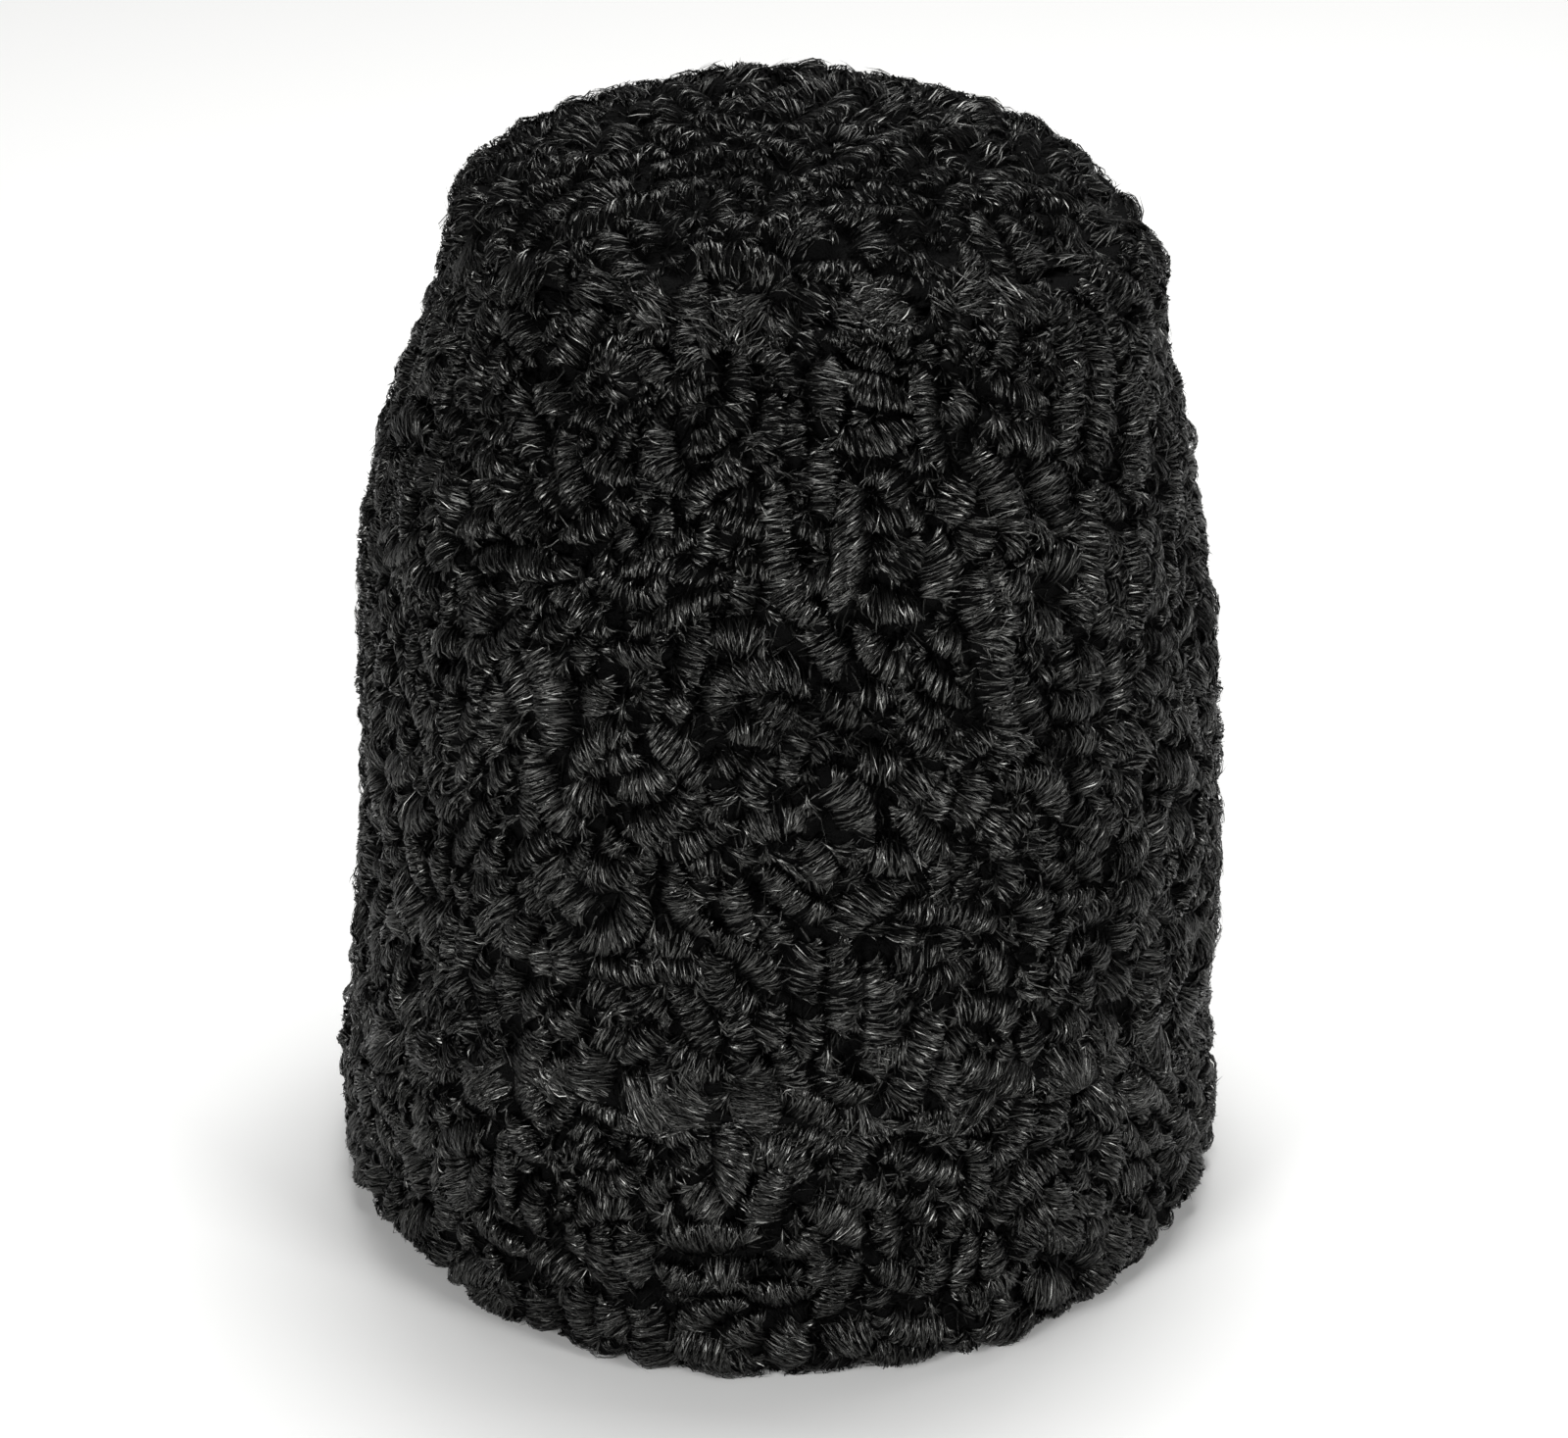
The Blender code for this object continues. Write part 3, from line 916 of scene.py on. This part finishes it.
def roll_points(curls, chosen, run, fan, turn, out):
    """Points on the rolls of chosen curls, the directions out of them, and their heights."""
    sheet = curls.sheet
    length = curls.lengths[chosen]
    inner = np.clip(run, 0.0, length)
    number = inner / np.maximum(length, 1e-9) * (AXIS_POINTS - 1)
    point = np.clip(number.astype(int), 0, AXIS_POINTS - 2)
    part = (number - point)[..., None]
    axes = curls.axes
    centre = axes[chosen, point] * (1 - part) + axes[chosen, point + 1] * part
    way = unit(curls.ways[chosen, point] * (1 - part) + curls.ways[chosen, point + 1] * part)
    normal = np.stack([-way[..., 1], way[..., 0]], axis=-1) * curls.sides[chosen][..., None]
    full, sink = along_curl(chosen, inner, length)
    half = curls.halves[chosen] * full + out
    rise = curls.rises[chosen] * full + out
    ahead = np.cos(fan)[..., None] * normal - np.sin(fan)[..., None] * way
    wound = np.minimum(turn, FALL)
    outward = np.sin(wound) + LEAN * np.cos(wound) + FRINGE * (turn - wound)
    root_side = outward < 0
    reach = np.where(root_side, outward * np.cos(fan), outward) * half
    moved = np.where(root_side[..., None], normal, ahead) * reach[..., None]
    across = centre[..., 0] + moved[..., 0] / sheet.squeeze(centre[..., 1])
    down = centre[..., 1] + moved[..., 1]
    base = curls.tops[chosen] - curls.rises[chosen]
    height = base + rise * np.cos(turn) - sink
    skin = curls.map.read(curls.height, across, down) + SKIN_INSET * HAIR_INSET + out
    most = np.interp(turn, (-1.0, -0.3), (ROOT_LIFT, MOST_LIFT))
    height = height + np.clip(skin - height, 0.0, most)
    if not sheet.planar:
        down = np.clip(down, 0.0, sheet.round_value(sheet.reaches, across, down))
    facing = sheet.read(sheet.facing, across, down)
    points = sheet.read(sheet.points, across, down) + facing * height[..., None]
    core = sheet.read(sheet.points, centre[..., 0], centre[..., 1])
    core = core + sheet.read(sheet.facing, centre[..., 0], centre[..., 1]) * base[..., None]
    return points, unit(points - core), height


# %% [markdown]
# Then the hairs themselves, as short tapering ribbons. Every one is wound part of the way round
# its curl, from the root side over the crest towards the tip side. Neighbours draw together
# towards their tips in little clumps, which is what makes a curl look combed. At the ends of a
# curl the hairs fan out.

# %% Hair ribbons
RIBBON_SHARE = np.array([0.0, 0.55, 1.0])
RIBBON_TAPER = np.array([0.7, 1.0, 0.0])
RIBBON_POINTS = len(RIBBON_SHARE)
CLUMP = 1.7 * MILLIMETRE
SLANT = 0.28
CAP = 0.9
FAN = math.radians(65.0)
SPANS = (55.0, 100.0)
FIRST_TIP = -40.0
TIP_RANGE = 155.0
LONGEST_FLICK = 1.6 * MILLIMETRE
END_SHARE = 1.3
BACK_START = -0.25
BACK_SHARE = 0.36
ROLLED_UNDER = 24.0 * MILLIMETRE
UNDER_SHARE = 0.35
TONES = 256
VARIANTS = 16
# Painted shade by depth: hairs at the first level get the darkest tone, hairs at the second none.
FULL_SHADE_LEVEL = -2.9 * MILLIMETRE
UNSHADED_LEVEL = 0.6 * MILLIMETRE

for curls in (wall_curls, cuff_curls, crown_curls):
    curls.ways = curls.tangents()
    curls.lengths = curls.runs()[:, -1]
    curls.slants = SLANT * curls.random.standard_normal(len(curls.halves))


def pick_curls(curls, count, random):
    """Choose a curl for every hair, more for big curls and for the side the camera sees."""
    weights = (curls.lengths + END_SHARE * curls.halves) * curls.halves
    middle = curls.axes[:, AXIS_POINTS // 2]
    if not curls.sheet.planar:
        azimuth = middle[:, 0] / curls.sheet.reference * TURN
        front = np.cos(azimuth + math.pi / 2) > BACK_START
        weights = weights * np.where(front, 1.0, BACK_SHARE)
    if curls.sheet.name == "cuff":
        length = curls.sheet.round_value(curls.sheet.lengths, *middle.T)
        inside = middle[:, 1] > length - ROLLED_UNDER
        weights = weights * np.where(inside, UNDER_SHARE, 1.0)
    return random.choice(len(weights), count, p=weights / weights.sum())


def ribbon_mesh(name, places, above, height, width, roll, random):
    """One mesh of tapering ribbons along paths, lying across the directions above them.

    The whole part of each ribbon's place in the map holds its tone: random, plus painted shade on
    deep hairs.
    """
    count = len(places)
    heading = unit(np.gradient(places, axis=1))
    side = unit(np.cross(heading, above))
    above = np.cross(side, heading)
    tilt = (roll * random.standard_normal(count))[:, None, None]
    side = side * np.cos(tilt) + above * np.sin(tilt)
    widths = width * (0.65 + 0.7 * random.random(count))[:, None] * RIBBON_TAPER / 2
    left = places - side * widths[..., None]
    right = places + side * widths[..., None]
    pairs = np.stack([left[:, :-1], right[:, :-1]], axis=2).reshape(count, -1, 3)
    corners = np.concatenate([pairs, places[:, -1:]], axis=1)
    corners[..., 2] = np.maximum(corners[..., 2], FLOOR_CLEARANCE)
    each = corners.shape[1]
    offset = (np.arange(count) * each)[:, None]
    start = offset + 2 * np.arange(RIBBON_POINTS - 2)
    quads = np.stack([start, start + 1, start + 3, start + 2], axis=-1).reshape(-1, 4)
    end = offset[:, 0] + each - 1
    tips = np.stack([end - 2, end - 1, end], axis=1)
    # Painted shade: the tone is darker the deeper a hair lies, plus a random share of its own.
    high = np.clip((height[:, 1] - FULL_SHADE_LEVEL) / (UNSHADED_LEVEL - FULL_SHADE_LEVEL), 0.0, 1.0)
    shade_and_tone = 0.72 * high + 0.27 * random.random(count)
    shift = np.floor(shade_and_tone * TONES) + TONES * random.integers(0, VARIANTS, count)
    across_map = np.tile(np.array([0.0, 1.0] * (RIBBON_POINTS - 1) + [0.5]), (count, 1))
    along_map = np.tile(np.repeat(RIBBON_SHARE, 2)[:-1], (count, 1))
    uv = np.stack([across_map + 2 * shift[:, None], along_map], axis=2).reshape(-1, 2)
    made = object_from_arrays(name, corners.reshape(-1, 3), quads, tips, uv)
    print(name, count, "hairs", 2 * len(quads) + len(tips), "triangles")
    return made


def ribbons(name, curls, count, width, seed, roll=0.3, lift=0.3, loose=0.04, stray=0.13):
    """One mesh of tapering ribbons wound round the curls."""
    random = np.random.default_rng(seed)
    chosen = pick_curls(curls, count, random)
    half = curls.halves[chosen]
    length = curls.lengths[chosen]
    cap = CAP * half
    run = random.random(count) * (length + 2 * cap) - cap
    fan = np.clip(-run / cap, 0.0, 1.0) - np.clip((run - length) / cap, 0.0, 1.0)
    fan = fan * FAN
    spans = np.radians(SPANS[0] + (SPANS[1] - SPANS[0]) * random.random(count))
    last = np.radians(FIRST_TIP + TIP_RANGE * random.random(count) ** 0.85)
    first = last - spans
    turn = first[:, None] + (last - first)[:, None] * RIBBON_SHARE
    comb = ((run / CLUMP + 0.5 * np.cos(chosen * 2.4)) % 1.0 - 0.5) * CLUMP
    grip = 0.1 + 0.5 * random.random(count)
    pull = -(comb * grip)[:, None] * np.clip(turn / math.radians(80.0) + 0.35, 0.0, 1.0)
    drift = curls.slants[chosen] + stray * random.standard_normal(count)
    run = run[:, None] + pull + drift[:, None] * half[:, None] * turn
    flick = (random.random(count) < loose) * random.random(count) * LONGEST_FLICK
    out = (0.05 + lift * random.random(count)) * MILLIMETRE
    out = out[:, None] + flick[:, None] * RIBBON_SHARE ** 2
    chosen = np.broadcast_to(chosen[:, None], run.shape)
    fan = np.broadcast_to(fan[:, None], run.shape)
    places, above, height = roll_points(curls, chosen, run, fan, turn, out)
    return ribbon_mesh(name, places, above, height, width, roll, random)


UNDER_LEVEL = -2.0 * MILLIMETRE


def under_hairs(name, curls, count, width, seed):
    """Ribbons that lie low along the wool's lie and close the gaps between the curls."""
    sheet = curls.sheet
    random = np.random.default_rng(seed)
    rows, columns = np.nonzero(curls.height < UNDER_LEVEL)
    chosen = random.integers(0, len(rows), count)
    across = columns[chosen] * curls.map.across_cell - curls.map.half
    down = rows[chosen] * CELL - curls.map.half
    lie = curls.lie[rows[chosen], columns[chosen]] + 0.9 * random.standard_normal(count)
    lengths = (5.0 + 4.0 * random.random(count)) * MILLIMETRE
    path = (RIBBON_SHARE - 0.5) * lengths[:, None]
    bend = 0.35 * random.standard_normal(count)[:, None]
    bend = bend * (RIBBON_SHARE - 0.5) ** 2 * lengths[:, None]
    along, beside = np.cos(lie)[:, None], np.sin(lie)[:, None]
    across = across[:, None] + (path * along - bend * beside) / sheet.squeeze(down)[:, None]
    down = down[:, None] + path * beside + bend * along
    if not sheet.planar:
        down = np.clip(down, 0.0, sheet.round_value(sheet.reaches, across, down))
    height = curls.map.read(curls.height, across, down)
    height = height + (0.2 + 0.8 * random.random(count)[:, None]) * MILLIMETRE
    above = sheet.read(sheet.facing, across, down)
    places = sheet.read(sheet.points, across, down) + above * height[..., None]
    return ribbon_mesh(name, places, above, height, width, 0.5, random)


FINE = 0.28 * MILLIMETRE
LOCK = 0.45 * MILLIMETRE
fur = {
    "side_wall": [
        ribbons("wall_locks_1", wall_curls, 50000, LOCK, 101, roll=0.12, lift=0.2),
        ribbons("wall_locks_2", wall_curls, 50000, LOCK, 102, roll=0.25, lift=0.4),
        ribbons("wall_hairs", wall_curls, 50000, FINE, 103, roll=0.5, lift=0.6, loose=0.1,
                stray=0.3),
        under_hairs("wall_under", wall_curls, 15000, LOCK, 104),
    ],
    "cuff": [
        ribbons("cuff_locks", cuff_curls, 44000, LOCK, 201, roll=0.16),
        ribbons("cuff_hairs", cuff_curls, 22000, FINE, 202, roll=0.5, lift=0.6, loose=0.1,
                stray=0.3),
        under_hairs("cuff_under", cuff_curls, 6000, LOCK, 203),
    ],
    "crown_top": [
        ribbons("crown_locks", crown_curls, 15000, LOCK, 301, roll=0.16, stray=0.3),
        ribbons("crown_hairs", crown_curls, 9000, FINE, 302, roll=0.5, lift=0.6, loose=0.2,
                stray=0.4),
        under_hairs("crown_under", crown_curls, 1200, LOCK, 303),
    ],
}

# %% [markdown]
# Black fur is never plain black: all that shows of it is the light that its hairs mirror. So the
# hair is made as a very dark metal, whose base colour says how strongly it mirrors, and that one
# colour can differ from hair to hair. It is also lowered at every hair's root and on hairs deep in
# the creases, as painted shade. A hair is a fine cylinder, so its highlight is stretched across it.
# Streaks along every ribbon break that highlight into single hairs.

# %% Materials
def new_material(name):
    """A material with its node tree and its Principled shader."""
    material = bpy.data.materials.new(name)
    material.use_nodes = True
    tree = material.node_tree
    return material, tree, tree.nodes["Principled BSDF"]


def add_math(tree, operation, first, second=None):
    """The result of a math node. Each value is a socket or a number."""
    node = tree.nodes.new("ShaderNodeMath")
    node.operation = operation
    for number, value in enumerate((first, second)):
        if isinstance(value, bpy.types.NodeSocket):
            tree.links.new(value, node.inputs[number])
        elif value is not None:
            node.inputs[number].default_value = value
    return node.outputs[0]


def add_range(tree, value, limits, interpolation="LINEAR"):
    """A value carried from one range to another."""
    node = tree.nodes.new("ShaderNodeMapRange")
    node.interpolation_type = interpolation
    for name, limit in zip(("From Min", "From Max", "To Min", "To Max"), limits):
        node.inputs[name].default_value = limit
    tree.links.new(value, node.inputs["Value"])
    return node.outputs[0]


def add_bump(tree, shader, height, distance):
    """Relief on a shader."""
    bump = tree.nodes.new("ShaderNodeBump")
    bump.inputs["Strength"].default_value = 1.0
    bump.inputs["Distance"].default_value = distance
    tree.links.new(height, bump.inputs["Height"])
    tree.links.new(bump.outputs[0], shader.inputs["Normal"])


HIGHLIGHT_STRETCH = 0.75
DASHES_ALONG = 1.5
STREAK_GLOSS = (0.42, 0.64, 0.02, 1.0)
# Each ribbon's tone, random and with painted shade for deep hairs, scales its gloss.
SHADE_AND_TONE_GLOSS = (0.0, 1.0, 0.03, 1.0)
# Painted shade at the root end of every hair, where it dips into the crease.
ROOT_SHADE_GLOSS = (0.0, 0.5, 0.35, 1.0)


def hair_streaks_group():
    """Node group: streaks along a ribbon, painted shade at its root, each ribbon's tone and shade.
    """
    group = bpy.data.node_groups.new("hair_streaks", "ShaderNodeTree")
    group.interface.new_socket("Place", in_out="INPUT", socket_type="NodeSocketVector")
    group.interface.new_socket("Streaks", in_out="INPUT", socket_type="NodeSocketFloat")
    group.interface.new_socket("Height", in_out="OUTPUT", socket_type="NodeSocketFloat")
    group.interface.new_socket("Gloss", in_out="OUTPUT", socket_type="NodeSocketFloat")
    given = group.nodes.new("NodeGroupInput")
    out = group.nodes.new("NodeGroupOutput")
    split = group.nodes.new("ShaderNodeSeparateXYZ")
    group.links.new(given.outputs["Place"], split.inputs[0])
    across = split.outputs["X"]
    along = split.outputs["Y"]
    join = group.nodes.new("ShaderNodeCombineXYZ")
    group.links.new(add_math(group, "MULTIPLY", across, given.outputs["Streaks"]), join.inputs["X"])
    group.links.new(add_math(group, "MULTIPLY", along, DASHES_ALONG), join.inputs["Y"])
    fine = group.nodes.new("ShaderNodeTexNoise")
    fine.noise_dimensions = "2D"
    fine.inputs["Scale"].default_value = 1.0
    fine.inputs["Detail"].default_value = 1.0
    fine.inputs["Distortion"].default_value = 0.4
    group.links.new(join.outputs[0], fine.inputs["Vector"])
    gloss = add_range(group, fine.outputs[0], STREAK_GLOSS, "SMOOTHSTEP")
    # Painted shade: each hair mirrors less toward its root.
    root = add_range(group, along, ROOT_SHADE_GLOSS, "SMOOTHSTEP")
    # Read back each ribbon's tone, which holds its painted shade for depth.
    shade_and_tone = add_math(group, "FRACT", add_math(group, "DIVIDE", across, 2.0 * TONES))
    each = add_range(group, shade_and_tone, SHADE_AND_TONE_GLOSS)
    shaded_at_root = add_math(group, "MULTIPLY", gloss, root)
    group.links.new(add_math(group, "MULTIPLY", shaded_at_root, each), out.inputs["Gloss"])
    group.links.new(fine.outputs[0], out.inputs["Height"])
    return group


streaks_group = hair_streaks_group()


def fur_material(name, dull, bright, roughness, streaks, relief):
    """Glossy black hair. Only its reflection shows, from dull between streaks to bright on them."""
    material, tree, shader = new_material(name)
    place = tree.nodes.new("ShaderNodeUVMap")
    place.uv_map = "hair"
    group = tree.nodes.new("ShaderNodeGroup")
    group.node_tree = streaks_group
    group.inputs["Streaks"].default_value = streaks
    tree.links.new(place.outputs[0], group.inputs["Place"])
    mix = tree.nodes.new("ShaderNodeMix")
    mix.data_type = "RGBA"
    mix.inputs["A"].default_value = (*dull, 1.0)
    mix.inputs["B"].default_value = (*bright, 1.0)
    tree.links.new(group.outputs["Gloss"], mix.inputs["Factor"])
    tree.links.new(mix.outputs["Result"], shader.inputs["Base Color"])
    add_bump(tree, shader, group.outputs["Height"], relief)
    across = tree.nodes.new("ShaderNodeTangent")
    across.direction_type = "UV_MAP"
    across.uv_map = "hair"
    tree.links.new(across.outputs[0], shader.inputs["Tangent"])
    shader.inputs["Metallic"].default_value = 1.0
    shader.inputs["Anisotropic"].default_value = HIGHLIGHT_STRETCH
    shader.inputs["Roughness"].default_value = roughness
    return material


lock_hair = fur_material("lock_hair", (0.0012, 0.0012, 0.0012), (0.150, 0.150, 0.144), 0.32, 4.0,
                         0.08 * MILLIMETRE)
single_hair = fur_material("single_hair", (0.0015, 0.0015, 0.0015), (0.165, 0.165, 0.158), 0.30,
                           1.0, 0.05 * MILLIMETRE)


# The wool deep between the curls is black, its own colour, and made dull as painted shade for the
# creases.
under_wool, wool_tree, wool_shader = new_material("under_wool")
wool_place = wool_tree.nodes.new("ShaderNodeTexCoord")
wool_noise = wool_tree.nodes.new("ShaderNodeTexNoise")
wool_noise.inputs["Scale"].default_value = 1400.0
wool_noise.inputs["Detail"].default_value = 3.0
wool_tree.links.new(wool_place.outputs["Object"], wool_noise.inputs["Vector"])
add_bump(wool_tree, wool_shader, wool_noise.outputs[0], 0.8 * MILLIMETRE)
wool_shader.inputs["Base Color"].default_value = (0.0015, 0.0015, 0.0015, 1.0)
wool_shader.inputs["Roughness"].default_value = 0.7
wool_shader.inputs["Specular IOR Level"].default_value = 0.05

hair_kinds = {"locks": lock_hair, "under": lock_hair, "hairs": single_hair}
skins = {"side_wall": wall_skin, "cuff": cuff_skin, "crown_top": crown_skin}
for node, skin in skins.items():
    # The pelt wears the dull deep wool: black, with painted shade between the curls.
    skin.data.materials.append(under_wool)
    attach(skin, "root")
    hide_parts(node)
    for piece in fur[node]:
        kind = piece.name.split("_")[1]
        piece.data.materials.append(hair_kinds[kind])
        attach(piece, "root")

# %% [markdown]
# A pale floor and soft lamps beside the camera, as for a catalogue picture: the crown is no
# brighter than the wall in the photograph, so most of the light comes from the front. The world is
# white to the camera, but gives little light of its own.

# %% Floor, light and world
floor_mesh = bpy.data.meshes.new("floor")
floor_mesh.from_pydata([(-4, -4, 0), (4, -4, 0), (4, 4, 0), (-4, 4, 0)], [], [(0, 1, 2, 3)])
floor = bpy.data.objects.new("floor", floor_mesh)
bpy.context.scene.collection.objects.link(floor)
floor_material, floor_tree, floor_shader = new_material("pale_floor")
floor_shader.inputs["Base Color"].default_value = (0.95, 0.95, 0.94, 1.0)
floor_shader.inputs["Roughness"].default_value = 0.9
floor_mesh.materials.append(floor_material)


WORLD_STRENGTH = (0.0, 1.0, 0.12, 1.0)
LAMPS = [
    ("key_lamp", (-0.85, -1.2, 0.58), (0, 0, 0.13), 0.45, 14.6),
    ("second_lamp", (1.0, -1.05, 0.50), (0, 0, 0.13), 0.45, 12.4),
    ("top_lamp", (0.1, 0.5, 1.6), (0, 0, 0.0), 0.9, 25.0),
    ("right_edge_lamp", (1.2, 0.55, 0.45), (0, 0, 0.13), 0.5, 2.2),
    ("left_edge_lamp", (-1.2, 0.55, 0.45), (0, 0, 0.13), 0.5, 0.6),
]
for name, place, aim, size, watts in LAMPS:
    lamp_data = bpy.data.lights.new(name, "AREA")
    lamp_data.shape = "SQUARE"
    lamp_data.size = size
    lamp_data.energy = watts
    lamp = bpy.data.objects.new(name, lamp_data)
    lamp.location = place
    lamp.rotation_mode = "QUATERNION"
    lamp.rotation_quaternion = (Vector(aim) - Vector(place)).to_track_quat("-Z", "Y")
    bpy.context.scene.collection.objects.link(lamp)
world = bpy.data.worlds.new("studio")
world.use_nodes = True
backdrop = world.node_tree.nodes["Background"]
backdrop.inputs["Color"].default_value = (1.0, 1.0, 1.0, 1.0)
seen = world.node_tree.nodes.new("ShaderNodeLightPath")
strength = add_range(world.node_tree, seen.outputs["Is Camera Ray"], WORLD_STRENGTH)
world.node_tree.links.new(strength, backdrop.inputs["Strength"])
bpy.context.scene.world = world
bpy.context.scene.view_settings.view_transform = "Standard"
